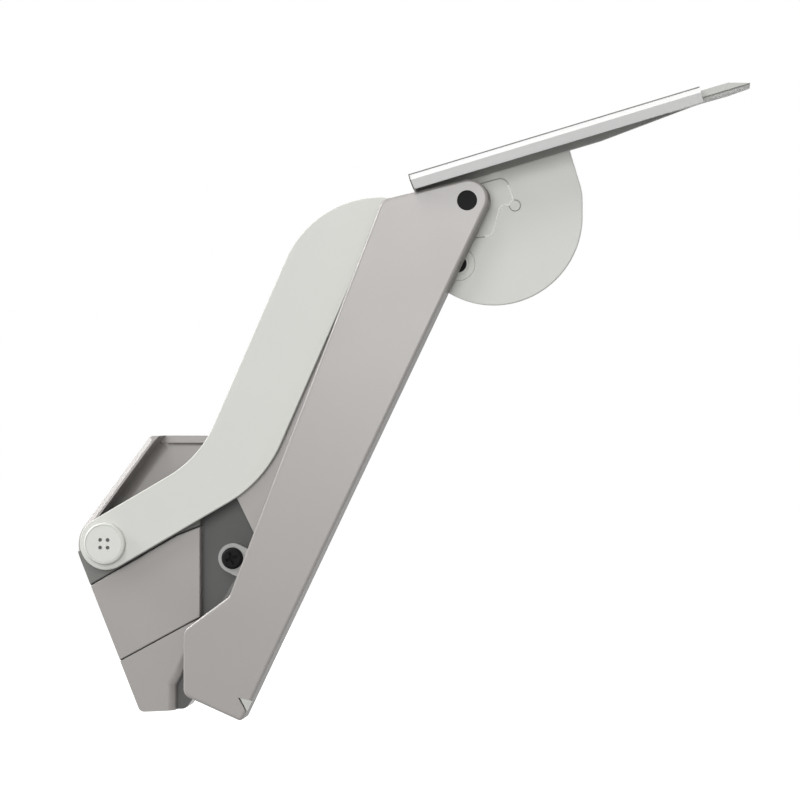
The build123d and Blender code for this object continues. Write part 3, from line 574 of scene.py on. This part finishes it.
def bead(name, line, front, slot, closed=False):
    """Half-round rib on the front of the flap bracket.

    The profile is across = h cos t, depth = front - d (1 - sin t) for t from 0 to half a turn.
    It is carried along the line, square to the line's direction at each point.
    """
    ahead = np.roll(line, -1, axis=0) - line
    behind = line - np.roll(line, 1, axis=0)
    if not closed:
        ahead[-1] = behind[-1]
        behind[0] = ahead[0]
    run = ahead + behind
    run = run / np.linalg.norm(run, axis=1, keepdims=True)
    square = np.stack([-run[:, 1], run[:, 0]], axis=1)
    turn = np.linspace(0.0, math.pi, BEAD_SIDES)
    place = line[:, None, :] + BEAD_HALF * np.cos(turn)[None, :, None] * square[:, None, :]
    depth = front - BEAD_DEPTH * (1.0 - np.sin(turn))
    points = front_point(place[..., 0], place[..., 1], depth).reshape(-1, 3)
    add_piece(name, points, carried_faces(len(line), BEAD_SIDES, closed), "flap_bracket", slot)


def insert_bead_highlight():
    """Bead down the right edge of the insert, round the left of the stud and along the waist, whiter than
    the cover as a painted highlight.
    """
    start = INSERT_TOP + BEAD_START * (STUD_CENTRE - INSERT_TOP)
    end = INSERT_LOW + BEAD_END * (INSERT_END - INSERT_LOW)
    stud_first = heading(INSERT_TOP - STUD_CENTRE)
    stud_last = heading(INSERT_WAIST - STUD_CENTRE)
    ring = arc(STUD_CENTRE, STUD_RING, stud_first, stud_last)
    waist = rounded(STUD_CENTRE, INSERT_WAIST, INSERT_LOW, INSERT_ROUND)
    low = rounded(INSERT_WAIST, INSERT_LOW, INSERT_END, INSERT_ROUND)
    line = np.concatenate([[start], ring, waist, low, [end]])
    # The bar's white finish on this bead is a painted highlight
    bead("insert_bead_highlight", line, BEAD_FRONT, "bar_metal")


def bush_ring():
    """Ring bead on the face of the adjuster bush."""
    line = BUSH_CENTRE + BUSH_RING * circle(BUSH_RING_STEPS)
    bead("bush_ring", line, BUSH_RING_FRONT, "pale_plastic", closed=True)


insert_bead_highlight()
bush_ring()


# Lift springs, coiled wire in place of the part's own springs

PACK_START = np.array(JOINTS["main_arm_lift"]["pos_m"])[[0, 2]]
PACK_ANGLE = math.radians(150.0)
PACK_MIDDLE = 6.5 * MM
SEAT_FACE = 52.0 * MM
SPRING_LENGTH = 22.0 * MM
SPRING_OFFSET = 7.0 * MM
SPRING_RADIUS = 3.4 * MM
SPRING_WIRE = 0.7 * MM
SPRING_FIT = 0.05 * MM
SPRING_FOOT = SEAT_FACE - SPRING_LENGTH + SPRING_WIRE + SPRING_FIT
SPRING_RUN = SPRING_LENGTH - 2 * (SPRING_WIRE + SPRING_FIT)
SPRING_TURNS = 5
SPRING_STEPS = 24
SPRING_SIDES = 10


def lift_spring(name, node, offset):
    """Round wire on a helix round its guide rod, from the carriage to the seat.

    The middle of the wire is start + (foot + p t) along + R out(t), with out turning round the rod.
    The wire's circle lies in out and in the normal, which is R along - p around(t) at length 1.
    """
    along = np.array([math.cos(PACK_ANGLE), 0.0, math.sin(PACK_ANGLE)])
    side = np.array([-along[2], 0.0, along[0]])
    depth = np.array([0.0, -1.0, 0.0])
    start = front_point(*PACK_START, PACK_MIDDLE) + offset * side
    turn = np.linspace(0.0, 2 * math.pi * SPRING_TURNS, SPRING_TURNS * SPRING_STEPS + 1)[:, None]
    pitch = SPRING_RUN / (2 * math.pi * SPRING_TURNS)
    out = np.cos(turn) * side + np.sin(turn) * depth
    around = np.cos(turn) * depth - np.sin(turn) * side
    normal = (SPRING_RADIUS * along - pitch * around) / math.hypot(SPRING_RADIUS, pitch)
    middle = start + (SPRING_FOOT + pitch * turn) * along + SPRING_RADIUS * out
    wire = SPRING_WIRE * circle(SPRING_SIDES) @ np.stack([out, normal], axis=1)
    points = (middle[:, None, :] + wire).reshape(-1, 3)
    piece = add_piece(name, points, carried_faces(len(turn), SPRING_SIDES), "housing", "spring_steel")
    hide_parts(node)
    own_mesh(piece)


lift_spring("upper_coil", "lift_spring_upper", -SPRING_OFFSET)
lift_spring("lower_coil", "lift_spring_lower", SPRING_OFFSET)


# Studio: floor, white surround, soft lamps

WHITE = (1.0, 1.0, 1.0, 1.0)
FLOOR_TONE = (0.3, 0.3, 0.3, 1.0)
FLOOR_GLOW = 0.9
FLOOR_DROP = 0.18
FLOOR_REACH = 8.0
AMBIENT = 0.33
MIDDLE = ((np.array(cad_box[0]) + np.array(cad_box[1])) / 2).tolist()

# Name, place, size in metres and power in watts of each lamp
LAMPS = (
    ("front_lamp", (0.05, -1.9, 0.5), 1.0, 19.6),
    ("key_lamp", (-0.3, -0.9, 1.35), 0.6, 5.5),
    ("rim_lamp", (-1.3, -0.15, 0.9), 0.6, 20.0),
    ("back_lamp", (0.1, 1.9, 0.6), 1.0, 18.0),
)


def seen_directly(tree):
    """1 on rays from the camera, off a mirror or through glass, 0 on the rest."""
    rays = tree.nodes.new("ShaderNodeLightPath").outputs
    first = add_math(tree, "MAXIMUM", rays["Is Camera Ray"], rays["Is Glossy Ray"])
    return add_math(tree, "MAXIMUM", first, rays["Is Transmission Ray"])


def floor_finish():
    """Matt grey floor that also glows to the camera, so that it looks white and keeps the shadow."""
    material = bpy.data.materials.new("studio_floor")
    material.use_nodes = True
    tree = material.node_tree
    tree.nodes.clear()
    matt = add_node(tree, "ShaderNodeBsdfDiffuse", Color=FLOOR_TONE)
    glow = add_node(tree, "ShaderNodeEmission", Color=WHITE)
    level = map_range(tree, seen_directly(tree), 0.0, FLOOR_GLOW)
    tree.links.new(level, glow.inputs["Strength"])
    both = tree.nodes.new("ShaderNodeAddShader")
    tree.links.new(matt.outputs["BSDF"], both.inputs[0])
    tree.links.new(glow.outputs["Emission"], both.inputs[1])
    out = tree.nodes.new("ShaderNodeOutputMaterial")
    tree.links.new(both.outputs["Shader"], out.inputs["Surface"])
    return material


def lay_floor():
    """One flat square under the part."""
    height = cad_box[0][2] - FLOOR_DROP
    side = np.array([[-1, -1], [1, -1], [1, 1], [-1, 1]]) * FLOOR_REACH
    corners = np.column_stack([side, np.full(4, height)])
    mesh = bpy.data.meshes.new("studio_floor")
    mesh.from_pydata(corners.tolist(), [], [(0, 1, 2, 3)])
    mesh.materials.append(floor_finish())
    floor = bpy.data.objects.new("studio_floor", mesh)
    bpy.context.scene.collection.objects.link(floor)


def light_world():
    """White to the camera, and an even ambient light on the part."""
    world = bpy.data.worlds.new("studio")
    bpy.context.scene.world = world
    world.use_nodes = True
    tree = world.node_tree
    background = tree.nodes["Background"]
    background.inputs["Color"].default_value = WHITE
    level = map_range(tree, seen_directly(tree), AMBIENT, 1.0)
    tree.links.new(level, background.inputs["Strength"])


def hang_lamp(name, place, size, power):
    """A square soft lamp aimed at the middle of the part."""
    lamp = bpy.data.lights.new(name, "AREA")
    lamp.size = size
    lamp.energy = power
    holder = bpy.data.objects.new(name, lamp)
    bpy.context.scene.collection.objects.link(holder)
    reach = np.array(MIDDLE) - np.array(place)
    flat = math.hypot(reach[0], reach[1])
    holder.location = place
    holder.rotation_euler = (math.atan2(flat, -reach[2]), 0.0, math.atan2(-reach[0], reach[1]))


lay_floor()
light_world()
for lamp_name, lamp_place, lamp_size, lamp_power in LAMPS:
    hang_lamp(lamp_name, lamp_place, lamp_size, lamp_power)


# Camera: level, turned a little to the left, at the distance that gives the photograph's scale

CAMERA_PLACE = (0.24763, -1.01577, 0.08125)
CAMERA_LEVEL = 90.0
CAMERA_YAW = 8.0
FOCAL_PIXELS = 2173.9
IMAGE_WIDTH = 800
SENSOR = 36.0

camera = bpy.data.cameras.new("camera")
camera.sensor_width = SENSOR
camera.lens = SENSOR * FOCAL_PIXELS / IMAGE_WIDTH
stand = bpy.data.objects.new("camera", camera)
stand.location = CAMERA_PLACE
stand.rotation_euler = (math.radians(CAMERA_LEVEL), 0.0, math.radians(CAMERA_YAW))
bpy.context.scene.collection.objects.link(stand)
bpy.context.scene.camera = stand
bpy.context.scene.view_settings.view_transform = "Standard"
